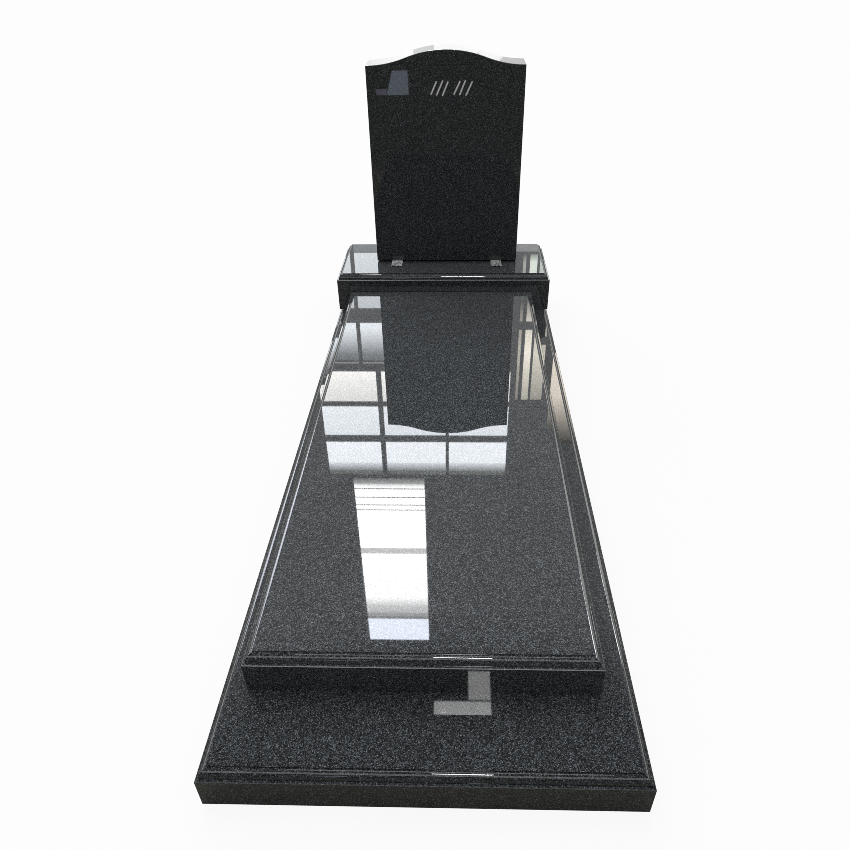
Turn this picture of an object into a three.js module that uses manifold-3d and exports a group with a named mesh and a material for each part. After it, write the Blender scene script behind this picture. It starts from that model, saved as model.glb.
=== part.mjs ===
// A granite grave memorial: a headstone on its plinth and a cover slab (the ledger) in front of it,
// all standing on one base slab. Millimetres, +Z up. The origin is at the middle of the base
// slab's underside, and the headstone faces -Y.

import * as THREE from 'three';
import Module from 'manifold-3d';
import { mergeVertices } from 'three/addons/utils/BufferGeometryUtils.js';

// Base slab
const SLAB_WIDTH = 762;
const SLAB_LENGTH = 2054;
const SLAB_HEIGHT = 88;

// Ledger: the bare stretch of slab in front of it and at its sides, and the low shelf at its head
const LEDGER_HEIGHT = 88;
const FRONT_APRON = 163;
const SIDE_MARGIN = 59.5;
const HEAD_SHELF = 60;
const LEDGER_SIDE_SHIFT = -7;

// Plinth: as deep as it is set back from the rear, and a little narrower than the slab
const PLINTH_DEPTH = 305;
const PLINTH_HEIGHT = 131;
const PLINTH_SIDE_SETBACK = 2;

// Tablet: straight sides up to the shoulders, then a serpentine top
const TABLET_WIDTH = 510;
const TABLET_THICKNESS = 127;
const TABLET_SHOULDER = 644;
const TABLET_RISE = 43.5;
const TABLET_SETBACK = 126;
const TABLET_SIDE_SHIFT = 11;

// Packing strips: thin light strips under the tablet that stick out in front of it
const STRIP_WIDTH = 40;
const STRIP_THICKNESS = 5;
const STRIP_INSET = 54;
const STRIP_PROTRUSION = 47;
const STRIP_REAR_COVER = 10;

// Edge moulding of the slab, the ledger and the plinth: a small step, a quarter round, a ledge, the arris
const MOULDING_INSET = 19;
const MOULDING_DROP = 18;
const MOULDING_STEP = 2.5;
const MOULDING_LEDGE = 4.5;
const ARRIS = 1.2;

// Clearances: what rests on a neighbour, and the open joint between the ledger and the plinth
const BED_JOINT = 0.3;
const HEAD_JOINT = 3;

// How finely the curves are cut, and how far a section runs past the block that it shapes
const MOULDING_STEPS = 12;
const SERPENTINE_STEPS = 14;
const OVERRUN = 10;

const wasm = await Module();
wasm.setup();

const granite = new THREE.MeshStandardMaterial({ color: 0x2f3132, roughness: 0.12, metalness: 0 });
const stripPlastic = new THREE.MeshStandardMaterial({ color: 0xb7b9b6, roughness: 0.85, metalness: 0 });

// The moulding as points from the outer face inwards: x is the way in, y the height against the top.
// A shelf in front of it moves it in and takes the place of the arris.
function mouldingPoints(shelf) {
  const roundWidth = MOULDING_INSET - MOULDING_LEDGE - ARRIS;
  const roundHeight = MOULDING_DROP - MOULDING_STEP;
  const round = new THREE.EllipseCurve(
    shelf + MOULDING_INSET, -MOULDING_DROP, roundWidth, roundHeight, Math.PI, Math.PI / 2, true);
  const foot = shelf > 0
    ? [new THREE.Vector2(0, -MOULDING_DROP)]
    : [new THREE.Vector2(0, -MOULDING_DROP - ARRIS), new THREE.Vector2(ARRIS, -MOULDING_DROP)];
  return [
    ...foot,
    ...round.getPoints(MOULDING_STEPS),
    new THREE.Vector2(shelf + MOULDING_INSET, 0),
  ];
}

// A plain sawn edge has only its corner
function plainPoints() {
  return [new THREE.Vector2(0, 0)];
}

// The outline of a block seen along its run: flat below, with one edge's points at each end
function section(span, height, startEdge, endEdge) {
  const half = span / 2;
  const end = endEdge.map((p) => new THREE.Vector2(half - p.x, height + p.y));
  const start = startEdge.map((p) => new THREE.Vector2(p.x - half, height + p.y)).reverse();
  return new THREE.Shape([
    new THREE.Vector2(-half, 0),
    new THREE.Vector2(half, 0),
    ...end,
    ...start,
  ]);
}

function toSolid(geometry) {
  const bare = geometry.clone();
  bare.deleteAttribute('normal');
  bare.deleteAttribute('uv');
  const merged = mergeVertices(bare, 1e-4);
  return new wasm.Manifold(new wasm.Mesh({
    numProp: 3,
    vertProperties: new Float32Array(merged.attributes.position.array),
    triVerts: new Uint32Array(merged.index.array),
  }));
}

function toGeometry(solid) {
  const mesh = solid.getMesh();
  const geometry = new THREE.BufferGeometry();
  geometry.setAttribute('position', new THREE.BufferAttribute(mesh.vertProperties, 3));
  geometry.setIndex(new THREE.BufferAttribute(mesh.triVerts, 1));
  geometry.computeVertexNormals();
  return geometry;
}

// A section drawn in X and Z, run along Y
function runAlongY(shape, length) {
  const geometry = new THREE.ExtrudeGeometry(shape, { depth: length, bevelEnabled: false });
  geometry.translate(0, 0, -length / 2);
  const xAxis = new THREE.Vector3(1, 0, 0);
  const zAxis = new THREE.Vector3(0, 0, 1);
  const minusY = new THREE.Vector3(0, -1, 0);
  return geometry.applyMatrix4(new THREE.Matrix4().makeBasis(xAxis, zAxis, minusY));
}

// A section drawn in Y and Z, run along X
function runAlongX(shape, length) {
  const geometry = new THREE.ExtrudeGeometry(shape, { depth: length, bevelEnabled: false });
  geometry.translate(0, 0, -length / 2);
  const xAxis = new THREE.Vector3(1, 0, 0);
  const yAxis = new THREE.Vector3(0, 1, 0);
  const zAxis = new THREE.Vector3(0, 0, 1);
  return geometry.applyMatrix4(new THREE.Matrix4().makeBasis(yAxis, zAxis, xAxis));
}

// A block with moulded top edges is what two runs have in common, so its corners come out mitred
function mouldedBlock({ width, length, height, frontEdge, rearEdge }) {
  const across = section(width, height, mouldingPoints(0), mouldingPoints(0));
  const along = section(length, height, frontEdge, rearEdge);
  const sides = toSolid(runAlongY(across, length + 2 * OVERRUN));
  const ends = toSolid(runAlongX(along, width + 2 * OVERRUN));
  return toGeometry(sides.intersect(ends));
}

function piece(name, geometry, material, x, y, z) {
  const mesh = new THREE.Mesh(geometry, material);
  mesh.name = name;
  mesh.position.set(x, y, z);
  return mesh;
}

// Places that follow from the sizes above
const slabFront = -SLAB_LENGTH / 2;
const slabRear = SLAB_LENGTH / 2;
const plinthFront = slabRear - PLINTH_DEPTH;
const ledgerFront = slabFront + FRONT_APRON;
const ledgerRear = plinthFront - HEAD_JOINT;
const ledgerLength = ledgerRear - ledgerFront;
const onSlab = SLAB_HEIGHT + BED_JOINT;
const onPlinth = onSlab + PLINTH_HEIGHT + BED_JOINT;
const onStrips = onPlinth + STRIP_THICKNESS + BED_JOINT;
const tabletFront = plinthFront + TABLET_SETBACK;

function baseSlab() {
  const geometry = mouldedBlock({
    width: SLAB_WIDTH,
    length: SLAB_LENGTH,
    height: SLAB_HEIGHT,
    frontEdge: mouldingPoints(0),
    rearEdge: plainPoints(),
  });
  return piece('base_slab', geometry, granite, 0, 0, 0);
}

// The ledger's moulding runs all round, and behind it a level shelf goes on to the plinth
function ledger() {
  const geometry = mouldedBlock({
    width: SLAB_WIDTH - 2 * SIDE_MARGIN,
    length: ledgerLength,
    height: LEDGER_HEIGHT,
    frontEdge: mouldingPoints(0),
    rearEdge: mouldingPoints(HEAD_SHELF),
  });
  return piece('ledger', geometry, granite, LEDGER_SIDE_SHIFT, (ledgerFront + ledgerRear) / 2, onSlab);
}

function plinth() {
  const geometry = mouldedBlock({
    width: SLAB_WIDTH - 2 * PLINTH_SIDE_SETBACK,
    length: PLINTH_DEPTH,
    height: PLINTH_HEIGHT,
    frontEdge: mouldingPoints(0),
    rearEdge: plainPoints(),
  });
  return piece('plinth', geometry, granite, 0, (plinthFront + slabRear) / 2, onSlab);
}

// Each side of the top is a hollow arc and a round arc of one radius, level at shoulder and apex
function tabletOutline() {
  const half = TABLET_WIDTH / 2;
  const radius = ((half / 2) ** 2 + (TABLET_RISE / 2) ** 2) / TABLET_RISE;
  const sweep = Math.asin(half / 2 / radius);
  const hollowCentre = TABLET_SHOULDER + radius;
  const roundCentre = TABLET_SHOULDER + TABLET_RISE - radius;
  const shape = new THREE.Shape();
  shape.moveTo(-half, 0);
  shape.lineTo(half, 0);
  shape.lineTo(half, TABLET_SHOULDER);
  shape.absarc(half, hollowCentre, radius, -Math.PI / 2, -Math.PI / 2 - sweep, true);
  shape.absarc(0, roundCentre, radius, Math.PI / 2 - sweep, Math.PI / 2 + sweep, false);
  shape.absarc(-half, hollowCentre, radius, -Math.PI / 2 + sweep, -Math.PI / 2, true);
  return shape;
}

function tablet() {
  const geometry = new THREE.ExtrudeGeometry(tabletOutline(), {
    depth: TABLET_THICKNESS - 2 * ARRIS,
    curveSegments: SERPENTINE_STEPS,
    bevelThickness: ARRIS,
    bevelSize: ARRIS,
    bevelOffset: -ARRIS,
    bevelSegments: 1,
  });
  geometry.translate(0, 0, ARRIS - TABLET_THICKNESS);
  geometry.rotateX(Math.PI / 2);
  return piece('tablet', geometry, granite, TABLET_SIDE_SHIFT, tabletFront, onStrips);
}

function packingStrip(name, side) {
  const length = STRIP_PROTRUSION + TABLET_THICKNESS - STRIP_REAR_COVER;
  const fromMiddle = TABLET_WIDTH / 2 - STRIP_INSET - STRIP_WIDTH / 2;
  const x = TABLET_SIDE_SHIFT + side * fromMiddle;
  const y = tabletFront - STRIP_PROTRUSION + length / 2;
  const geometry = new THREE.BoxGeometry(STRIP_WIDTH, length, STRIP_THICKNESS);
  return piece(name, geometry, stripPlastic, x, y, onPlinth + STRIP_THICKNESS / 2);
}

const headstone = new THREE.Group();
headstone.add(plinth());
headstone.add(packingStrip('packing_strip_left', -1));
headstone.add(packingStrip('packing_strip_right', 1));
headstone.add(tablet());

const memorial = new THREE.Group();
memorial.add(baseSlab());
memorial.add(ledger());
memorial.add(headstone);

export default memorial;
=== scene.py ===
# %% [markdown]
# # A polished granite grave memorial
#
# This lesson gives a finished look to a memorial of four stones. A base slab lies on the ground. A cover
# slab, which masons call the ledger, lies on it, and at its head a plinth carries the upright headstone,
# which masons call the tablet. Two thin packing strips lie between the tablet and the plinth.
#
# The stones are one dark grey granite, sawn to size and then polished on every side that shows. All sizes
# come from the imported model, so each step starts by asking that model where its piece is.

import math

import bmesh
import bpy
from mathutils import Matrix, Vector


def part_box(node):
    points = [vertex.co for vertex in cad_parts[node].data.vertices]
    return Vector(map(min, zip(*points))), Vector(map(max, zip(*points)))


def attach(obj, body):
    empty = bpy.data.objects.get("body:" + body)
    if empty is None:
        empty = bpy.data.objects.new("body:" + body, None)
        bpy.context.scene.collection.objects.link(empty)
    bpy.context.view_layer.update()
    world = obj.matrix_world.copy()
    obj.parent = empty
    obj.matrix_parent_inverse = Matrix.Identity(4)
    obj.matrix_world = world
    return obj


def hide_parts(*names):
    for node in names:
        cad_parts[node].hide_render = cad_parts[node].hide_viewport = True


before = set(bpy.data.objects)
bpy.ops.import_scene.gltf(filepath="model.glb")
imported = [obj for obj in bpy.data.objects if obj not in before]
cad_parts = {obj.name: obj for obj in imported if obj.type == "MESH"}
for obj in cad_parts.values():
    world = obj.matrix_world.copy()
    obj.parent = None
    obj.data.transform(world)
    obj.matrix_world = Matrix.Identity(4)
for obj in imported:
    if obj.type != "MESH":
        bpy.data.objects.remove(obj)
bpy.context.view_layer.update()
print("pieces in the packed model:", sorted(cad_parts))

# %% [markdown]
# ## The camera
#
# A picture is compared with a render most easily when both are taken from the same place with the same
# lens. The camera stands in front of the foot end, above eye level for a kneeling person, and looks down
# on the stones. It is turned a little to the left and not held quite level. The lens is moved sideways and
# up by a small share of the picture, because the middle of the picture isn't where the lens points. Its
# place, like that of every light panel further on, is measured from the foot end of the base slab.

# %% Place the camera
FOOT_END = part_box("base_slab")[0].y
CAMERA_PLACE = Vector((0.0525, FOOT_END - 0.5986, 1.2131))
CAMERA_TURN = math.radians(1.804)
CAMERA_DOWN = math.radians(35.55)
CAMERA_LEAN = math.radians(-0.785)
LENS_MM = 29.72
SENSOR_MM = 36.0
SHIFT_RIGHT = -0.0165
SHIFT_UP = 0.0087


def add_camera():
    data = bpy.data.cameras.new("camera")
    data.lens = LENS_MM
    data.sensor_width = SENSOR_MM
    data.shift_x = SHIFT_RIGHT
    data.shift_y = SHIFT_UP
    camera = bpy.data.objects.new("camera", data)
    bpy.context.scene.collection.objects.link(camera)
    level = Matrix.Rotation(math.pi / 2 - CAMERA_DOWN, 4, "X")
    turn = Matrix.Rotation(CAMERA_TURN, 4, "Z")
    lean = Matrix.Rotation(CAMERA_LEAN, 4, "Z")
    camera.matrix_world = Matrix.Translation(CAMERA_PLACE) @ turn @ level @ lean
    bpy.context.scene.camera = camera
    return camera


camera = add_camera()
print("camera looks along", [round(value, 4) for value in -camera.matrix_world.col[2].xyz])

# %% [markdown]
# ## Writing node trees as sums
#
# Both shapes and finishes are node trees here. A tree written node by node hides its meaning, so a small
# class wraps an output socket and takes part in Python arithmetic: `1 - mask` adds a Math node and gives
# back its output. Every other node comes from one method, `add`, which sets the node's own settings first
# and then its sockets, by name, by identifier or by number.

# %% Sockets that take part in arithmetic


class Wire:
    """An output socket of a node tree. Arithmetic on it adds Math nodes."""

    def __init__(self, tree, socket):
        self.tree = tree
        self.socket = socket

    def other(self, name):
        return Wire(self.tree, find_socket(self.socket.node.outputs, name))

    def math(self, operation, *values, clamp=False):
        settings = {"operation": operation, "use_clamp": clamp}
        return self.tree.add("ShaderNodeMath", settings, dict(enumerate(values)))

    def __add__(self, value):
        return self.math("ADD", self, value)

    def __radd__(self, value):
        return self.math("ADD", value, self)

    def __sub__(self, value):
        return self.math("SUBTRACT", self, value)

    def __rsub__(self, value):
        return self.math("SUBTRACT", value, self)

    def __mul__(self, value):
        return self.math("MULTIPLY", self, value)

    def __rmul__(self, value):
        return self.math("MULTIPLY", value, self)

    def __truediv__(self, value):
        return self.math("DIVIDE", self, value)

    def __lt__(self, value):
        return self.math("LESS_THAN", self, value)

    def __gt__(self, value):
        return self.math("GREATER_THAN", self, value)

    def __pow__(self, value):
        return self.math("POWER", self, value)

    def clamp(self):
        return self.math("ADD", self, 0.0, clamp=True)

    def larger(self, value):
        return self.math("MAXIMUM", self, value)

    def smaller(self, value):
        return self.math("MINIMUM", self, value)

    def size(self):
        return self.math("ABSOLUTE", self)

    def sine(self):
        return self.math("SINE", self)

    def cosine(self):
        return self.math("COSINE", self)


def find_socket(sockets, key):
    if isinstance(key, int):
        return sockets[key]
    for socket in sockets:
        if socket.identifier == key:
            return socket
    return sockets[key]


class Tree:
    """A node tree that is filled by its add method."""

    def __init__(self, tree):
        self.tree = tree
        tree.nodes.clear()

    def add(self, kind, settings=None, inputs=None, output=0):
        node = self.tree.nodes.new(kind)
        for name, value in (settings or {}).items():
            if name == "stops":
                set_stops(node.color_ramp, value)
            else:
                setattr(node, name, value)
        for key, value in (inputs or {}).items():
            self.feed(find_socket(node.inputs, key), value)
        if len(node.outputs) == 0:
            return None
        return Wire(self, find_socket(node.outputs, output))

    def feed(self, socket, value):
        if isinstance(value, Wire):
            self.tree.links.new(value.socket, socket)
        else:
            socket.default_value = value

    def combine(self, x, y, z):
        return self.add("ShaderNodeCombineXYZ", inputs={0: x, 1: y, 2: z})

    def split(self, vector):
        x = self.add("ShaderNodeSeparateXYZ", inputs={0: vector})
        return x, x.other("Y"), x.other("Z")

    def mix(self, factor, first, second, blend="MIX"):
        settings = {"data_type": "RGBA", "blend_type": blend}
        inputs = {"Factor_Float": factor, "A_Color": first, "B_Color": second}
        return self.add("ShaderNodeMix", settings, inputs, "Result_Color")

    def vector(self, operation, *values, output=0):
        return self.add("ShaderNodeVectorMath", {"operation": operation}, dict(enumerate(values)), output)

    def ramp(self, factor, stops):
        return self.add("ShaderNodeValToRGB", {"stops": stops}, {0: factor})


def set_stops(ramp, stops):
    """Stops are pairs of a place from 0 to 1 and a grey level or a colour."""
    while len(ramp.elements) > 1:
        ramp.elements.remove(ramp.elements[-1])
    for number, (place, level) in enumerate(stops):
        element = ramp.elements[0] if number == 0 else ramp.elements.new(place)
        element.position = place
        colour = (level, level, level) if isinstance(level, (int, float)) else level
        element.color = (*colour, 1.0)


# %% [markdown]
# ## The granite
#
# Seen from a step away, this granite is an even dark grey. From close by it is a crowd of crystals less
# than two millimetres wide: nearly black mica, grey quartz and pale feldspar, with a few bright flecks.
# A Voronoi texture gives each crystal one random number, and a colour ramp turns the number into one of
# those minerals. A second, finer one adds the flecks, and a slow noise lets whole areas drift a little
# lighter or darker, as a quarried block does.
#
# Polishing closes the surface, so the polished stone is smooth as glass and its colour is deep. Where the
# stone is only sawn, at its back and underside, the surface is rough, it scatters light, and the same
# crystals look paler. The narrow arris between two polished sides is rubbed with a hand stone and never
# polished, so it is paler. The thin pale line it shows is also painted brighter as a painted highlight, by a
# share set for each stone. Two attributes of the meshes say which faces are sawn and which are rubbed.

# %% Make the granite
STONE_GREY = (0.0545, 0.0605, 0.0655, 1.0)
CRYSTAL_WIDTH = 0.0016
FLECK_WIDTH = 0.0012
DRIFT_WIDTH = 0.16
POLISH = 0.012
STONE_IOR = 1.55
SAWN = "sawn"
RUBBED = "rubbed"
MINERALS = ((0.0, 0.2), (0.35, 0.4), (0.6, 0.8), (0.8, 1.4), (0.92, 2.2), (1.0, 3.6))
FLECKS = ((0.0, 0.0), (0.965, 0.0), (0.98, 1.0))
FLECK_COLOUR = (0.36, 0.38, 0.40, 1.0)
SAWN_COLOUR = (0.2, 0.205, 0.21, 1.0)
# The arris colour is partly the paleness of rubbed stone and partly a painted highlight.
RUBBED_AND_HIGHLIGHT_COLOUR = (0.42, 0.43, 0.44, 1.0)
CHALK_COLOUR = (0.95, 0.96, 0.96, 1.0)
DRIFT_DARKEST = 0.86
DRIFT_SPAN = 0.28
FLECK_SHARE = 0.55
SAWN_SHARE = 0.5
SAWN_ROUGHNESS = 0.6
RUBBED_ROUGHNESS = 0.06
CHALK_ROUGHNESS = 0.8
GRIT_SCALE = 900.0
GRIT_STRENGTH = 0.35
GRIT_HEIGHT = 0.0004


def granite(name, tone, arris_rubbed_and_highlight_share, chalk=None):
    """Granite of one stone. The tone multiplies the grey, and the slab's lower tone is painted shade. The
    arris share says how pale its arrises are, partly rubbed stone and partly painted highlight, and chalk
    may add strokes drawn on the stone."""
    material = bpy.data.materials.new(name)
    material.use_nodes = True
    tree = Tree(material.node_tree)
    place = tree.add("ShaderNodeTexCoord", output="Object")
    sawn = tree.add("ShaderNodeAttribute", {"attribute_name": SAWN}, output="Fac")
    rubbed = tree.add("ShaderNodeAttribute", {"attribute_name": RUBBED}, output="Fac")

    crystal_inputs = {"Vector": place, "Scale": 1 / CRYSTAL_WIDTH}
    crystal_colour = tree.add("ShaderNodeTexVoronoi", inputs=crystal_inputs, output="Color")
    crystal = tree.add("ShaderNodeSeparateColor", inputs={0: crystal_colour})
    fleck_inputs = {"Vector": place, "Scale": 1 / FLECK_WIDTH}
    fleck_colour = tree.add("ShaderNodeTexVoronoi", inputs=fleck_inputs, output="Color")
    fleck = tree.add("ShaderNodeSeparateColor", inputs={0: fleck_colour})
    drift = tree.add("ShaderNodeTexNoise", inputs={"Vector": place, "Scale": 1 / DRIFT_WIDTH, "Detail": 3.0})

    minerals = tree.ramp(crystal, MINERALS)
    flecks = tree.ramp(fleck, FLECKS)
    stone = tuple(level * tone for level in STONE_GREY[:3]) + (1.0,)
    colour = tree.mix(1.0, stone, minerals, "MULTIPLY")
    shade = DRIFT_DARKEST + DRIFT_SPAN * drift
    colour = tree.mix(1.0, colour, tree.combine(shade, shade, shade), "MULTIPLY")
    colour = tree.mix(FLECK_SHARE * flecks, colour, FLECK_COLOUR)
    colour = tree.mix(SAWN_SHARE * sawn, colour, SAWN_COLOUR)
    # Painted highlight: the arris is painted paler than rubbing alone would leave it, by each stone's share.
    colour = tree.mix(arris_rubbed_and_highlight_share * rubbed, colour, RUBBED_AND_HIGHLIGHT_COLOUR)
    roughness = POLISH + POLISH * crystal.other("Green")
    roughness = roughness + SAWN_ROUGHNESS * sawn + RUBBED_ROUGHNESS * rubbed

    grit = tree.add("ShaderNodeTexNoise", inputs={"Vector": place, "Scale": GRIT_SCALE, "Detail": 2.0})
    bump_inputs = {"Strength": GRIT_STRENGTH * sawn, "Distance": GRIT_HEIGHT, "Height": grit}
    normal = tree.add("ShaderNodeBump", inputs=bump_inputs)

    if chalk:
        mask = chalk(tree, place)
        colour = tree.mix(mask, colour, CHALK_COLOUR)
        roughness = roughness + CHALK_ROUGHNESS * mask

    inputs = {"Base Color": colour, "Roughness": roughness.clamp(), "Normal": normal, "IOR": STONE_IOR}
    shader = tree.add("ShaderNodeBsdfPrincipled", inputs=inputs)
    tree.add("ShaderNodeOutputMaterial", inputs={"Surface": shader})
    return material


# The first number is a stone's tone. The slab's is lowered to 0.8 as painted shade, for the shade the ledger
# casts on its margins and apron. The second number sets how pale each stone's arris is, partly rubbed stone
# and partly painted highlight.
slab_granite_with_painted_shade = granite("slab_granite_with_painted_shade", 0.8, 0.12)
ledger_granite = granite("ledger_granite", 1.0, 0.35)
plinth_granite = granite("plinth_granite", 1.0, 0.8)
print("granite nodes in one stone:", len(slab_granite_with_painted_shade.node_tree.nodes))

# %% [markdown]
# ## The moulded stones
#
# The slab, the ledger and the plinth are blocks whose top edge is moulded. From the top down there is a
# small step, a quarter round, a narrow ledge and then the arris, at the upright face. A mason runs the
# same wheel along each side, so at the corners the mouldings meet in a mitre.
#
# Such a block follows one rule, so one Geometry Nodes tree makes all three. It starts as a flat grid. Each
# column of the grid stands for a corner of the block, and each row for a line of the moulding, from the
# middle of the underside, out and up over the moulding, to the middle of the top. The tree works out from
# the row how far in and how high that line lies, and moves each point there. Merging the doubled points
# then closes the block. The ledger's moulding also runs across its head end, behind which a level shelf
# goes on to the plinth, and two columns are kept for the corners of that shelf.

# %% The tree for a moulded stone
STEPS_ON_THE_ROUND = 18
COLUMNS = 7
ROWS_BESIDE_THE_ROUND = 7
LEDGE_ROW = 3
WELD_DISTANCE = 2e-6
STRAIGHT = 0.9
END_MARGIN = 0.001
STONE_INPUTS = (
    ("Width", "NodeSocketFloat"),
    ("Length", "NodeSocketFloat"),
    ("Height", "NodeSocketFloat"),
    ("Middle", "NodeSocketVector"),
    ("Moulding inset", "NodeSocketFloat"),
    ("Moulding drop", "NodeSocketFloat"),
    ("Step", "NodeSocketFloat"),
    ("Ledge", "NodeSocketFloat"),
    ("Arris", "NodeSocketFloat"),
    ("Shelf", "NodeSocketFloat"),
    ("Moulded rear", "NodeSocketFloat"),
    ("Steps", "NodeSocketInt"),
    ("Granite", "NodeSocketMaterial"),
)


def moulded_stone_tree():
    group = bpy.data.node_groups.new("Moulded stone", "GeometryNodeTree")
    group.interface.new_socket("Stone", in_out="OUTPUT", socket_type="NodeSocketGeometry")
    for name, kind in STONE_INPUTS:
        group.interface.new_socket(name, in_out="INPUT", socket_type=kind)
    tree = Tree(group)
    given = tree.add("NodeGroupInput")
    width, length, height = given.other("Width"), given.other("Length"), given.other("Height")
    inset, drop = given.other("Moulding inset"), given.other("Moulding drop")
    step, ledge = given.other("Step"), given.other("Ledge")
    arris, shelf = given.other("Arris"), given.other("Shelf")
    steps = given.other("Steps")

    # The grid is as long as it has gaps between its points, so a place on it counts columns and rows
    rows = steps + ROWS_BESIDE_THE_ROUND
    grid_inputs = {"Size X": COLUMNS - 1.0, "Size Y": rows - 1, "Vertices X": COLUMNS, "Vertices Y": rows}
    grid = tree.add("GeometryNodeMeshGrid", inputs=grid_inputs)
    across, along, _ = tree.split(tree.add("GeometryNodeInputPosition"))
    column = across + (COLUMNS - 1) / 2
    row = along + (rows - 1) / 2

    # How far each part of the section has been passed, from 0 to 1
    above_ground = (row - 1).clamp()
    past_arris = (row - 2).clamp()
    past_ledge = (row - LEDGE_ROW).clamp()
    in_round = ((row - LEDGE_ROW - 1) / steps).clamp()
    over_step = (row - LEDGE_ROW - 1 - steps).clamp()
    to_centre = (1 - row).clamp() + (row - LEDGE_ROW - 2 - steps).clamp()

    # The arris is a small flat between upright and level, and the round is a quarter of an oval
    turn = in_round * (math.pi / 2)
    round_starts = arris + ledge
    way_in = arris * past_arris + ledge * past_ledge + (inset - round_starts) * (1 - turn.cosine())
    level = (height - drop - arris) * above_ground + arris * past_arris
    level = level + (drop - step) * turn.sine() + step * over_step

    # Columns 1 to 3 are on the right, 2 to 5 at the rear, and 3 and 4 are the rear's own corners
    right = (column - 2).size() < 1.5
    rear = (column - 3.5).size() < 2.0
    rear_corner = (column - 3.5).size() < 1.0
    moulding_starts = 1 - rear_corner * (1 - past_ledge)
    rear_way_in = given.other("Moulded rear") * moulding_starts * (shelf + way_in.larger(round_starts))
    x = (2 * right - 1) * (width / 2 - way_in)
    y_front = way_in - length / 2
    y_rear = length / 2 - rear_way_in
    y = y_front + rear * (y_rear - y_front)
    spread = 1 - to_centre
    shape = tree.combine(x * spread, y * spread, level)
    placed = tree.vector("ADD", shape, given.other("Middle"))

    # Only the arris is rubbed, and the granite paints it pale, partly as a painted highlight; on a face the
    # row reads halfway between its own two
    is_rubbed = (row > 2.0) * (row < LEDGE_ROW)
    face_settings = {"data_type": "FLOAT", "domain": "FACE"}
    rubbed_inputs = {"Geometry": grid, "Name": RUBBED, "Value": is_rubbed}
    rubbed = tree.add("GeometryNodeStoreNamedAttribute", face_settings, rubbed_inputs)
    moved = tree.add("GeometryNodeSetPosition", inputs={"Geometry": rubbed, "Position": placed})
    weld_inputs = {"Geometry": moved, "Distance": WELD_DISTANCE}
    closed = tree.add("GeometryNodeMergeByDistance", inputs=weld_inputs)

    # The underside and the rear end are left sawn
    _, towards_rear, upwards = tree.split(tree.add("GeometryNodeInputNormal"))
    _, rear_place, _ = tree.split(tree.add("GeometryNodeInputPosition"))
    _, middle_y, _ = tree.split(given.other("Middle"))
    at_rear_end = (towards_rear > STRAIGHT) * (rear_place > middle_y + length / 2 - END_MARGIN)
    is_sawn = at_rear_end.larger(upwards < -STRAIGHT)
    sawn_inputs = {"Geometry": closed, "Name": SAWN, "Value": is_sawn}
    marked = tree.add("GeometryNodeStoreNamedAttribute", face_settings, sawn_inputs)

    real = tree.add("GeometryNodeRealizeInstances", inputs={"Geometry": marked})
    finish_inputs = {"Geometry": real, "Material": given.other("Granite")}
    finished = tree.add("GeometryNodeSetMaterial", inputs=finish_inputs)
    tree.add("NodeGroupOutput", inputs={"Stone": finished})
    return group


stone_tree = moulded_stone_tree()
print("nodes in the tree for a moulded stone:", len(stone_tree.nodes))

# %% [markdown]
# ## From a tree to three stones
#
# The moulding is the same on all three stones, so its sizes are set once. The outer size and place of
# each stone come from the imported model. The tree works as a modifier on an empty mesh. Its inputs are set
# by their identifiers, and the result is turned into a plain mesh, so that nothing has to be worked out
# again later.
#
# Flat faces have to mirror like glass and the rounds have to look round. So all faces are shaded smooth,
# and every edge that turns by more than a few degrees is marked as sharp. Without that mark, the large flat
# faces would borrow a little of the rounding beside them, and what they mirror would bend.

# %% Make the base slab, the ledger and the plinth
MOULDING_INSET = 0.019
MOULDING_DROP = 0.018
MOULDING_STEP = 0.0025
MOULDING_LEDGE = 0.0045
ARRIS = 0.0012
HEAD_SHELF = 0.060
SHARP_TURN = math.radians(9)


def round_off(mesh):
    mesh.shade_smooth()
    mesh.set_sharp_from_angle(angle=SHARP_TURN)


def evaluated_mesh(carrier, name):
    """The mesh that a carrier's modifiers make, as a plain mesh of its own."""
    graph = bpy.context.evaluated_depsgraph_get()
    mesh = bpy.data.meshes.new_from_object(carrier.evaluated_get(graph), depsgraph=graph)
    mesh.name = name
    return mesh


def add_piece(name, mesh, slot, *nodes):
    """Puts a finished mesh in the scene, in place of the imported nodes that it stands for."""
    piece = bpy.data.objects.new(name, mesh)
    bpy.context.scene.collection.objects.link(piece)
    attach(piece, "root")
    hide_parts(*nodes)
    return piece


def moulded_stone(node, material, slot, shelf=0.0, moulded_rear=0.0):
    low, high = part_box(node)
    middle = (low + high) / 2
    settings = {
        "Width": high.x - low.x,
        "Length": high.y - low.y,
        "Height": high.z - low.z,
        "Middle": (middle.x, middle.y, low.z),
        "Moulding inset": MOULDING_INSET,
        "Moulding drop": MOULDING_DROP,
        "Step": MOULDING_STEP,
        "Ledge": MOULDING_LEDGE,
        "Arris": ARRIS,
        "Shelf": shelf,
        "Moulded rear": moulded_rear,
        "Steps": STEPS_ON_THE_ROUND,
        "Granite": material,
    }
    carrier = bpy.data.objects.new("carrier", bpy.data.meshes.new("carrier"))
    bpy.context.scene.collection.objects.link(carrier)
    modifier = carrier.modifiers.new("Moulded stone", "NODES")
    modifier.node_group = stone_tree
    for item in stone_tree.interface.items_tree:
        if item.in_out == "INPUT":
            modifier[item.identifier] = settings[item.name]
    mesh = evaluated_mesh(carrier, "polished_" + node)
    bpy.data.objects.remove(carrier)
    round_off(mesh)
    piece = add_piece("polished_" + node, mesh, slot, node)
    print(piece.name, "has", len(mesh.polygons), "faces, size",
          [round(high[axis] - low[axis], 4) for axis in range(3)])
    return piece


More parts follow.
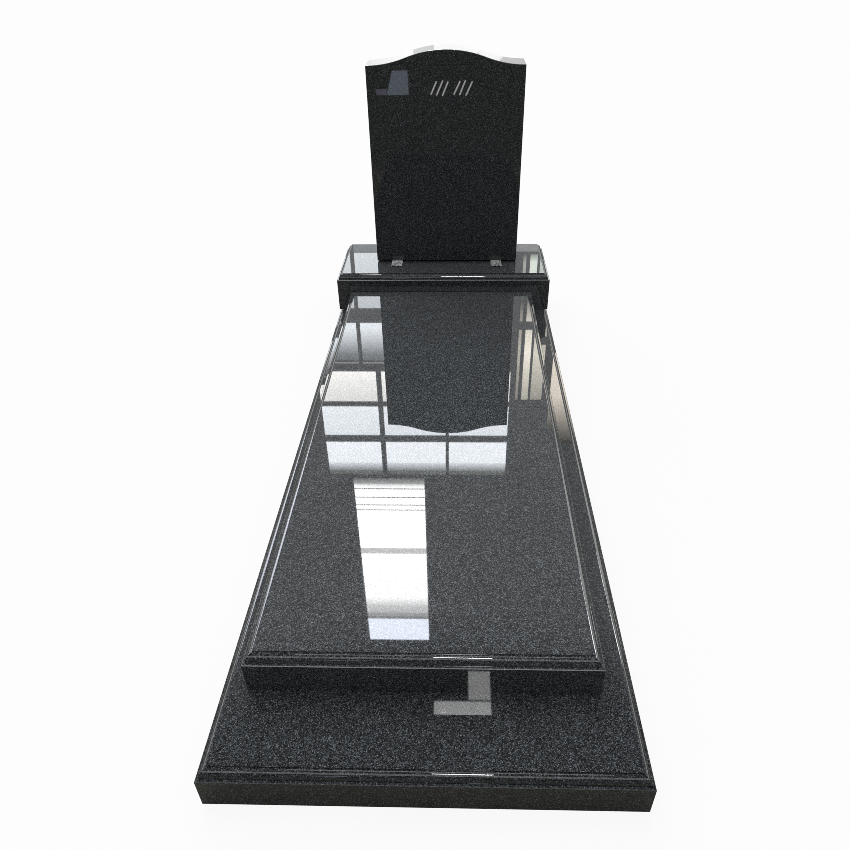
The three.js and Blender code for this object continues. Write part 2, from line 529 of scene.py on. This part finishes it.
moulded_stone("base_slab", slab_granite_with_painted_shade, "granite_slab")
moulded_stone("ledger", ledger_granite, "granite_ledger", HEAD_SHELF, 1.0)
moulded_stone("plinth", plinth_granite, "granite_plinth")

# %% [markdown]
# ## Chalk strokes on the tablet
#
# In the yard someone counts the finished stones and marks each with a few strokes of chalk. They are only
# colour, so they belong in the material. Each stroke is a straight line between two points on the face.
# For every point of the stone the tree works out how far it is from the nearest stroke, and where that is
# less than half the width of the chalk, the stone is chalk white and dull. A noise breaks the strokes up,
# because chalk only catches on part of a polished face.

# %% Draw the chalk strokes
TALLY_FOOT = Vector((-0.036, 0.785))
TALLY_STEP = 0.0185
TALLY_RISE = Vector((0.017, 0.036))
TALLY_GAPS = (0.0, 1.0, 2.0, 4.0, 5.0, 6.1)
TALLY_LEAN = 0.0016
CHALK_WIDTH = 0.005
CHALK_EDGE = 1.35
CHALK_THINNEST = 0.7
CRUMB_SCALE = 700.0
tablet_low, tablet_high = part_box("tablet")
TABLET_FRONT = tablet_low.y


def tally_strokes():
    """Each stroke as its foot and its top, in metres across and up the face."""
    strokes = []
    for number, gap in enumerate(TALLY_GAPS):
        foot = TALLY_FOOT + Vector((gap * TALLY_STEP, -TALLY_LEAN * (number % 3)))
        lean = Vector((TALLY_LEAN * (number % 2), TALLY_LEAN * ((number * 2) % 3)))
        strokes.append((foot, foot + TALLY_RISE + lean))
    return strokes


def chalk_strokes(tree, place):
    x, y, z = tree.split(place)
    nearest = None
    for foot, top in tally_strokes():
        run = top - foot
        from_foot_x = x - foot.x
        from_foot_z = z - foot.y
        share = (from_foot_x * run.x + from_foot_z * run.y) / run.length_squared
        share = share.clamp()
        away_x = from_foot_x - share * run.x
        away_z = from_foot_z - share * run.y
        away = (away_x * away_x + away_z * away_z) ** 0.5
        nearest = away if nearest is None else nearest.smaller(away)
    crumb = tree.add("ShaderNodeTexNoise", inputs={"Vector": place, "Scale": CRUMB_SCALE, "Detail": 1.0})
    edge = (CHALK_EDGE - nearest * (2 / CHALK_WIDTH)).clamp()
    on_face = y < TABLET_FRONT + ARRIS / 2
    return (edge * (CHALK_THINNEST + crumb)).clamp() * on_face


# The tablet's rubbed edges take the same pale colour, partly a painted highlight.
tablet_granite = granite("tablet_granite", 0.87, 0.5, chalk_strokes)
print("chalk strokes:", len(tally_strokes()))

# %% [markdown]
# ## The tablet
#
# The tablet is a slab on edge with straight sides. Its top is a serpentine: on each side a hollow arc rises
# from the shoulder and passes, a quarter of the width in, into a round arc that is level at the middle. Both
# arcs have the same radius, and the rise and the width alone give it. The outline is worked out from that
# rule, drawn at the front and at the back, and joined by the edge faces. A Bevel modifier breaks the sharp
# edges as the mason's hand stone does. The faces that it adds look neither straight to the front nor along
# an edge, so that tells which ones are rubbed. The granite paints these pale, partly as a painted highlight.

# %% Make the tablet
TABLET_RISE = 0.0435
STEPS_ON_A_SERPENTINE_ARC = 32
HAND_STONE_SEGMENTS = 2
HAND_STONE_FROM = math.radians(60)
LEAST_SLANT = 0.1
MOST_SLANT = 0.99


def serpentine_height(x, half, shoulder, rise):
    """The height of the top edge above the place x, which is measured from the middle."""
    quarter = half / 2
    radius = (quarter ** 2 + (rise / 2) ** 2) / rise
    away = abs(x)
    if away > quarter:
        return shoulder + radius - math.sqrt(radius ** 2 - (half - away) ** 2)
    return shoulder + rise - radius + math.sqrt(radius ** 2 - away ** 2)


def tablet_outline():
    """Points of the outline seen from the front, against the clock from the lower left."""
    middle = (tablet_low.x + tablet_high.x) / 2
    half = (tablet_high.x - tablet_low.x) / 2
    shoulder = tablet_high.z - TABLET_RISE
    outline = [(tablet_low.x, tablet_low.z), (tablet_high.x, tablet_low.z)]
    steps = 4 * STEPS_ON_A_SERPENTINE_ARC
    for number in range(steps + 1):
        x = half - number * 2 * half / steps
        outline.append((middle + x, serpentine_height(x, half, shoulder, TABLET_RISE)))
    return outline


def make_tablet():
    shape = bmesh.new()
    layer = shape.faces.layers.float.new(SAWN)
    outline = tablet_outline()
    front = [shape.verts.new((x, tablet_low.y, z)) for x, z in outline]
    back = [shape.verts.new((x, tablet_high.y, z)) for x, z in outline]
    shape.faces.new(front)
    back_face = shape.faces.new(back[::-1])
    sawn_faces = [back_face]
    for number in range(len(outline)):
        after = (number + 1) % len(outline)
        edge_face = shape.faces.new((front[after], front[number], back[number], back[after]))
        if number == 0:
            sawn_faces.append(edge_face)
    shape.normal_update()
    for face in sawn_faces:
        face[layer] = 1.0
    mesh = bpy.data.meshes.new("tablet_block")
    shape.to_mesh(mesh)
    shape.free()
    mesh.materials.append(tablet_granite)
    carrier = bpy.data.objects.new("carrier", mesh)
    bpy.context.scene.collection.objects.link(carrier)
    bevel = carrier.modifiers.new("Hand stone", "BEVEL")
    bevel.width = ARRIS
    bevel.offset_type = "OFFSET"
    bevel.segments = HAND_STONE_SEGMENTS
    bevel.limit_method = "ANGLE"
    bevel.angle_limit = HAND_STONE_FROM
    result = evaluated_mesh(carrier, "polished_tablet")
    bpy.data.objects.remove(carrier)
    rubbed = result.attributes.new(RUBBED, "FLOAT", "FACE")
    for face in result.polygons:
        is_slanted = LEAST_SLANT < abs(face.normal.y) < MOST_SLANT
        rubbed.data[face.index].value = 1.0 if is_slanted else 0.0
    round_off(result)
    return add_piece("polished_tablet", result, "granite_tablet", "tablet")


tablet = make_tablet()
print("the tablet has", len(tablet.data.polygons), "faces")

# %% [markdown]
# ## The packing strips
#
# Two short strips of plastic keep the polished edge of the tablet off the plinth. They stick out in front,
# and the right one is the darker. They were cut off a roll by hand, so they aren't quite straight, and their
# surface is pressed with small pits. Each is a box that is cut into many small faces and then made uneven,
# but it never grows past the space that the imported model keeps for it.

# %% Make the packing strips
STRIP_CELL = 0.0025
STRIP_ROUND = 0.0009
STRIP_PIT = 0.0011
STRIP_WAVES = (900, 760)
STRIP_SHARE_LOST = 0.25
STRIP_OUTSIDE = 0.995
STRIP_TONES = ((0.0, 0.0), (0.48, 0.1), (0.62, 0.8), (0.8, 1.0))
DARK_DULL = (0.035, 0.035, 0.035, 1.0)
DARK_BRIGHT = (0.6, 0.6, 0.58, 1.0)
PALE_DULL = (0.15, 0.155, 0.16, 1.0)
PALE_BRIGHT = (0.75, 0.77, 0.78, 1.0)


def strip_plastic(name, dull, bright):
    """Plastic of one strip: dull where it is pressed in and bright where it is scuffed."""
    material = bpy.data.materials.new(name)
    material.use_nodes = True
    tree = Tree(material.node_tree)
    place = tree.add("ShaderNodeTexCoord", output="Object")
    cells = tree.add("ShaderNodeTexVoronoi", inputs={"Vector": place, "Scale": 230.0})
    scuffs = tree.add("ShaderNodeTexNoise", inputs={"Vector": place, "Scale": 110.0, "Detail": 3.0})
    tone = tree.ramp(scuffs + 0.25 * cells, STRIP_TONES)
    colour = tree.mix(tone, dull, bright)
    normal = tree.add("ShaderNodeBump", inputs={"Strength": 0.6, "Distance": 0.0006, "Height": cells})
    inputs = {"Base Color": colour, "Roughness": 0.5 + 0.25 * scuffs, "Normal": normal}
    shader = tree.add("ShaderNodeBsdfPrincipled", inputs=inputs)
    tree.add("ShaderNodeOutputMaterial", inputs={"Surface": shader})
    return material


def packing_strip(node, material, seed):
    low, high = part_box(node)
    size = high - low
    counts = [max(1, round(size[axis] / STRIP_CELL)) for axis in range(3)]
    shape = bmesh.new()
    bmesh.ops.create_cube(shape, size=1.0)
    for axis in range(3):
        cuts = counts[axis] - 1
        edges = [edge for edge in shape.edges
                 if abs((edge.verts[0].co - edge.verts[1].co).normalized()[axis]) > 0.9]
        if cuts > 0:
            bmesh.ops.subdivide_edges(shape, edges=edges, cuts=cuts, use_grid_fill=True)
    middle = (low + high) / 2
    for vertex in shape.verts:
        share = vertex.co * 2
        place = Vector(middle[axis] + vertex.co[axis] * size[axis] for axis in range(3))
        across, along = STRIP_WAVES
        wave = math.sin(place.x * across + seed) * math.sin(place.y * along + 2 * seed)
        edge_on = sorted(abs(value) for value in share)
        at_edge = edge_on[1] > STRIP_OUTSIDE
        inwards = STRIP_PIT * 0.5 * (0.5 + 0.5 * wave) + (STRIP_ROUND if at_edge else 0.0)
        for axis in range(3):
            if abs(share[axis]) > STRIP_OUTSIDE:
                most = STRIP_SHARE_LOST * size[axis]
                place[axis] -= math.copysign(min(inwards, most), share[axis])
        vertex.co = place
    bmesh.ops.recalc_face_normals(shape, faces=shape.faces)
    mesh = bpy.data.meshes.new("pitted_" + node)
    shape.to_mesh(mesh)
    shape.free()
    mesh.materials.append(material)
    round_off(mesh)
    return add_piece("pitted_" + node, mesh, "strip", node)


left_plastic = strip_plastic("left_strip_plastic", PALE_DULL, PALE_BRIGHT)
right_plastic = strip_plastic("right_strip_plastic", DARK_DULL, DARK_BRIGHT)
left_strip = packing_strip("packing_strip_left", left_plastic, 0)
right_strip = packing_strip("packing_strip_right", right_plastic, 1)
print("the strips have", len(left_strip.data.polygons), "and", len(right_strip.data.polygons), "faces")

# %% [markdown]
# ## The floor and the soft light
#
# A pale floor and a pale surround are all that stands around the stones. Light comes softly from the whole
# upper half of the surround. It is strongest overhead, so upright faces stay much darker than level ones,
# and a broad glow comes in low over the headstone.
#
# Polished dark stone shows what it mirrors more than its own colour, so the studio must give it dark
# surroundings to mirror, or it would look milky. The Light Path node tells a ray that comes straight from
# the camera from one that comes off a polished face, and the floor and the surround answer each in its
# own way: pale to the camera and dark to the polish, the floor most of all where it lies away from the
# stones. Only a band low in the surround stays pale for the polish, dim behind the head end and brighter at
# the sides, where it draws lines on the mouldings.

# %% The floor and the surround
FLOOR_REACH = 60.0
FLOOR_PALE = 0.80
FLOOR_GLOW = 1.0
FLOOR_GLOW_SHARE = 0.9
FLOOR_IN_SOFT_LIGHT = (0.27, 0.26, 0.235)
FLOOR_IN_POLISH = (0.10, 0.10, 0.095)
NEAR_FLOOR_IN_POLISH = (0.21, 0.20, 0.165)
NEAR_FLOOR_REACH = 1.4
NEAR_FLOOR_FADE = 0.2
SURROUND_PALE = 1.0
OVERHEAD = 1.35
LOW_GLOW = 2.55
LOW_GLOW_AIM = Vector((-0.3, 0.78, 0.57)).normalized()
LOW_GLOW_POWER = 6.0
POLISH_BEHIND = 0.55
POLISH_BEHIND_FROM = -0.2
POLISH_BEHIND_FADE = 0.5
POLISH_BEHIND_REACH = 0.82
POLISH_BEHIND_TOP_FADE = 0.06
POLISH_AT_SIDES = 1.4
POLISH_SIDES_FROM = 0.35
POLISH_SIDES_FADE = 0.3
POLISH_SIDES_REACH = 0.38
POLISH_SIDES_TOP_FADE = 0.15
POLISH_IN_FRONT = 0.05


def add_floor():
    mesh = bpy.data.meshes.new("floor")
    corners = [(-1, -1), (1, -1), (1, 1), (-1, 1)]
    mesh.from_pydata([(x * FLOOR_REACH, y * FLOOR_REACH, 0.0) for x, y in corners], [], [(0, 1, 2, 3)])
    floor = bpy.data.objects.new("floor", mesh)
    bpy.context.scene.collection.objects.link(floor)
    material = bpy.data.materials.new("floor")
    material.use_nodes = True
    tree = Tree(material.node_tree)
    path = tree.add("ShaderNodeLightPath")
    is_camera = path.other("Is Camera Ray")
    is_glossy = path.other("Is Glossy Ray")
    place = tree.add("ShaderNodeTexCoord", output="Object")
    away = tree.vector("LENGTH", place, output="Value")
    is_near = ((NEAR_FLOOR_REACH - away) / NEAR_FLOOR_FADE).clamp()
    levels = []
    for soft, near, far in zip(FLOOR_IN_SOFT_LIGHT, NEAR_FLOOR_IN_POLISH, FLOOR_IN_POLISH):
        level = soft + (FLOOR_PALE - soft) * is_camera
        mirrored = far + (near - far) * is_near
        levels.append(level + (mirrored - soft) * is_glossy)
    lit = tree.add("ShaderNodeBsdfDiffuse", inputs={"Color": tree.combine(*levels)})
    glowing = tree.add("ShaderNodeEmission", inputs={"Strength": FLOOR_GLOW})
    mix_inputs = {0: FLOOR_GLOW_SHARE * is_camera, 1: lit, 2: glowing}
    shader = tree.add("ShaderNodeMixShader", inputs=mix_inputs)
    tree.add("ShaderNodeOutputMaterial", inputs={"Surface": shader})
    mesh.materials.append(material)
    return floor


def add_surround():
    world = bpy.data.worlds.new("surround")
    world.use_nodes = True
    tree = Tree(world.node_tree)
    path = tree.add("ShaderNodeLightPath")
    towards = tree.add("ShaderNodeTexCoord", output="Generated")
    x, y, z = tree.split(towards)
    height = z.clamp()
    glow = tree.vector("DOT_PRODUCT", towards, tuple(LOW_GLOW_AIM), output="Value").clamp()
    soft = OVERHEAD * height * height + LOW_GLOW * glow ** LOW_GLOW_POWER
    behind = ((y - POLISH_BEHIND_FROM) / POLISH_BEHIND_FADE).clamp()
    behind = behind * ((POLISH_BEHIND_REACH - z) / POLISH_BEHIND_TOP_FADE).clamp()
    at_sides = ((x.size() - POLISH_SIDES_FROM) / POLISH_SIDES_FADE).clamp()
    at_sides = at_sides * ((POLISH_SIDES_REACH - z) / POLISH_SIDES_TOP_FADE).clamp()
    mirrored = POLISH_IN_FRONT + (POLISH_BEHIND - POLISH_IN_FRONT) * behind + POLISH_AT_SIDES * at_sides
    is_camera = path.other("Is Camera Ray")
    is_glossy = path.other("Is Glossy Ray")
    strength = soft + is_glossy * (mirrored - soft)
    strength = strength + is_camera * (SURROUND_PALE - strength)
    shader = tree.add("ShaderNodeBackground", inputs={"Color": (1.0, 1.0, 1.0, 1.0), "Strength": strength})
    tree.add("ShaderNodeOutputWorld", inputs={"Surface": shader})
    bpy.context.scene.world = world
    return world


add_floor()
add_surround()
print("floor reaches", FLOOR_REACH, "m each way")

# %% [markdown]
# ## Light panels for the polish
#
# A photographer lights polished stone by what it mirrors. A wall of light panels stands behind the
# memorial, and the ledger and the plinth mirror it upside down. It has two lower rows and three upper rows
# of panels with dark bars between them, a tall panel above, and warm panels at its right. Some panels fade
# towards their top or bottom, so each is given the light at both. Strong small panels hang high behind the
# camera, and others stand beside the wall for the mouldings. A wide one hangs further behind the camera, a
# level one over the foot end, and two faint ones stand low for the tablet's face.
#
# The panels are only there for the polish: rays from the camera and soft light pass through them. Each
# panel's brightness is written at its corners as a colour, so one material serves them all.

# %% The light panels
PANEL_WALL = FOOT_END + 6.0425
BRIGHTNESS = "brightness"
WHITE = (1.0, 1.0, 1.0)
COOL = (0.95, 1.0, 1.05)
SOFT_WARM = (1.01, 1.0, 0.97)
GREENISH = (0.95, 1.03, 0.93)
WARM = (1.06, 1.0, 0.86)
BEIGE = (1.1, 1.0, 0.86)
BLUISH = (0.92, 0.98, 1.12)
SKY_BLUE = (0.95, 1.1, 1.35)
VIOLET = (1.1, 0.95, 1.3)
LOWER_FIELDS = ((-1.490, -1.016), (-0.974, 0.450))
UPPER_FIELDS = ((-1.490, -0.845), (-0.786, -0.081), (-0.043, 0.635))
LOWER_ROWS = (
    (1.70, 1.79, 1.2, 1.2, COOL),
    (1.80, 2.31, 4.0, 4.0, COOL),
    (2.48, 2.57, 6.9, 6.4, COOL),
    (2.57, 2.86, 6.4, 1.6, COOL),
    (2.86, 2.93, 1.6, 1.3, COOL),
    (2.952, 2.968, 2.4, 2.4, COOL),
)
UPPER_ROWS = (
    (3.07, 3.46, 9.3, 7.6, SOFT_WARM),
    (3.53, 3.93, 9.4, 9.3, COOL),
    (4.03, 4.34, 11.3, 11.5, COOL),
    (4.34, 4.46, 9.2, 2.2, COOL),
    (4.46, 4.52, 1.6, 1.3, GREENISH),
)
TALL_FIELD = (-1.215, -0.345)
TALL_ROWS = (
    (4.58, 4.67, 1.4, 4.6, WHITE),
    (4.67, 4.742, 7.5, 18.0, WHITE),
    (4.758, 4.882, 18.5, 18.5, WHITE),
    (4.896, 5.008, 18.5, 18.5, WHITE),
    (5.022, 5.092, 18.5, 18.5, WHITE),
    (5.106, 5.770, 20.0, 20.0, WHITE),
    (5.770, 5.876, 8.5, 8.5, WHITE),
    (5.876, 6.72, 20.0, 18.5, WHITE),
    (6.72, 6.92, 18.5, 9.6, WHITE),
    (6.92, 7.06, 9.6, 7.8, WHITE),
    (7.06, 7.13, 5.4, 5.4, WHITE),
    (7.13, 7.19, 3.4, 3.4, WHITE),
    (7.19, 7.655, 15.6, 15.6, BLUISH),
)
WARM_FIELDS = ((0.700, 0.729, 0.5), (0.768, 0.840, 1.0), (0.867, 0.994, 0.75))
WARM_ROWS = (
    (1.82, 1.90, 1.5, 4.3, GREENISH),
    (1.90, 2.06, 4.4, 4.4, GREENISH),
    (2.06, 2.22, 3.0, 1.1, GREENISH),
    (2.22, 2.46, 1.1, 4.6, WARM),
    (2.56, 2.83, 5.2, 7.6, WARM),
    (2.83, 3.43, 7.6, 3.9, WARM),
)
PALE_FIELD = (0.480, 1.050)
PALE_ROW = (1.70, 1.79, 1.35)
MARGIN_FIELD = (1.085, 1.75)
MARGIN_ROWS = ((2.62, 3.20, 6.5, 6.5), (3.20, 3.60, 6.5, 2.2), (3.60, 3.85, 2.2, 0.3))
SILL_PANELS = (
    (-3.0, -0.56, 1.10, 1.68, 1.65),
    (-0.56, -0.25, 1.10, 1.68, 1.15),
    (-0.25, 0.46, 1.10, 1.68, 1.75),
    (0.46, 3.0, 1.10, 1.29, 1.65),
    (0.46, 3.0, 1.29, 1.68, 1.05),
)

# Level panels all hang at one height: left, right, near and far end from the foot end, light
HIGH = 5.0
LEVEL_PANELS = (
    (-0.155, 0.390, -3.0675, -2.4475, 52.0),
    (0.175, 0.390, -3.4075, -3.0875, 40.0),
    (-1.3, 1.3, -0.9, 0.2, 1.8),
)

# Panels beside the wall: left, right, bottom, top, light, tint
BESIDE_PANELS = (
    (3.6, 6.5, 2.0, 5.0, 3.0, WHITE),
    (-6.5, -3.5, 2.0, 7.0, 8.0, BLUISH),
)
MOULDING_PANEL = ((2.9, 6.5), (7.0, 4.3), (7.0, 5.0), (2.9, 7.6))
MOULDING_LIGHT = 15.0

# Panels behind the camera
FACE_PANELS = FOOT_END - 1.3575
FACE_PATCH = ((-0.482, 0.222), (-0.318, 0.222), (-0.322, 0.386), (-0.437, 0.386))
FACE_LIGHT = 1.3
FACE_CORNER = (-0.56, -0.482, 0.222, 0.262)
FACE_CORNER_LIGHT = 0.85
FRONT_WALL = FOOT_END - 6.0
FRONT_PANEL = (-6.0, 6.0, 3.4, 7.5)
FRONT_LIGHT = 1.5


class Panels:
    """Collects upright and level rectangles, each with the light at its corners."""

    def __init__(self, name):
        self.name = name
        self.corners = []
        self.lights = []

    def add(self, corners, lights, tint):
        self.corners.append(corners)
        for light in lights:
            self.lights.append(tuple(light * level for level in tint))

    def upright(self, y, left, right, bottom, top, low_light, high_light, tint=WHITE):
        corners = [(left, y, bottom), (right, y, bottom), (right, y, top), (left, y, top)]
        self.add(corners, (low_light, low_light, high_light, high_light), tint)

    def level(self, z, left, right, near, far, light, tint=WHITE):
        corners = [(left, near, z), (right, near, z), (right, far, z), (left, far, z)]
        self.add(corners, (light, light, light, light), tint)

    def slanted(self, y, corners, light, tint=WHITE):
        """An upright panel with four corners, each a place across and a height."""
        self.add([(x, y, z) for x, z in corners], (light, light, light, light), tint)

    def make(self, material):
        mesh = bpy.data.meshes.new(self.name)
        points = [corner for face in self.corners for corner in face]
        faces = [tuple(range(4 * number, 4 * number + 4)) for number in range(len(self.corners))]
        mesh.from_pydata(points, [], faces)
        layer = mesh.attributes.new(BRIGHTNESS, "FLOAT_COLOR", "POINT")
        for number, light in enumerate(self.lights):
            layer.data[number].color = (*light, 1.0)
        mesh.materials.append(material)
        panels = bpy.data.objects.new(self.name, mesh)
        bpy.context.scene.collection.objects.link(panels)
        panels.visible_camera = False
        panels.visible_diffuse = False
        panels.visible_shadow = False
        panels.visible_transmission = False
        panels.visible_volume_scatter = False
        return panels


def panel_light():
    material = bpy.data.materials.new("panel_light")
    material.use_nodes = True
    material.cycles.emission_sampling = "NONE"
    tree = Tree(material.node_tree)
    light = tree.add("ShaderNodeAttribute", {"attribute_name": BRIGHTNESS}, output="Color")
    shader = tree.add("ShaderNodeEmission", inputs={"Color": light, "Strength": 1.0})
    tree.add("ShaderNodeOutputMaterial", inputs={"Surface": shader})
    return material


def add_panel_wall(material):
    wall = Panels("panel_wall")
    for rows, fields in ((LOWER_ROWS, LOWER_FIELDS), (UPPER_ROWS, UPPER_FIELDS), (TALL_ROWS, (TALL_FIELD,))):
        for bottom, top, low_light, high_light, tint in rows:
            for left, right in fields:
                wall.upright(PANEL_WALL, left, right, bottom, top, low_light, high_light, tint)
    for bottom, top, low_light, high_light, tint in WARM_ROWS:
        for left, right, share in WARM_FIELDS:
            wall.upright(PANEL_WALL, left, right, bottom, top, share * low_light, share * high_light, tint)
    bottom, top, light = PALE_ROW
    wall.upright(PANEL_WALL, *PALE_FIELD, bottom, top, light, light)
    for bottom, top, low_light, high_light in MARGIN_ROWS:
        wall.upright(PANEL_WALL, *MARGIN_FIELD, bottom, top, low_light, high_light, BEIGE)
    for left, right, bottom, top, light in SILL_PANELS:
        wall.upright(PANEL_WALL, left, right, bottom, top, light, light)
    return wall.make(material)


def add_small_panels(material):
    small = Panels("small_panels")
    for left, right, near, far, light in LEVEL_PANELS:
        small.level(HIGH, left, right, FOOT_END + near, FOOT_END + far, light)
    for left, right, bottom, top, light, tint in BESIDE_PANELS:
        small.upright(PANEL_WALL, left, right, bottom, top, light, light, tint)
    small.slanted(PANEL_WALL, MOULDING_PANEL, MOULDING_LIGHT)
    small.slanted(FACE_PANELS, FACE_PATCH, FACE_LIGHT, SKY_BLUE)
    small.upright(FACE_PANELS, *FACE_CORNER, FACE_CORNER_LIGHT, FACE_CORNER_LIGHT, VIOLET)
    small.upright(FRONT_WALL, *FRONT_PANEL, FRONT_LIGHT, FRONT_LIGHT)
    return small.make(material)


panel_material = panel_light()
panel_wall = add_panel_wall(panel_material)
small_panels = add_small_panels(panel_material)
print("panels in the wall:", len(panel_wall.data.polygons), "small panels:", len(small_panels.data.polygons))

# %% [markdown]
# ## Light as the eye sees it
#
# The photograph's tones run straight from black to white, so the Standard view is used, which shows a
# surface's own brightness without bending it. The camera's picture is crisp down to the single crystal, so
# each pixel gathers light from little more than its own square.

# %% Set the view
PIXEL_FILTER = 0.8
bpy.context.scene.view_settings.view_transform = "Standard"
bpy.context.scene.cycles.filter_width = PIXEL_FILTER
bpy.context.scene.cycles.use_denoising = False
print("view:", bpy.context.scene.view_settings.view_transform)
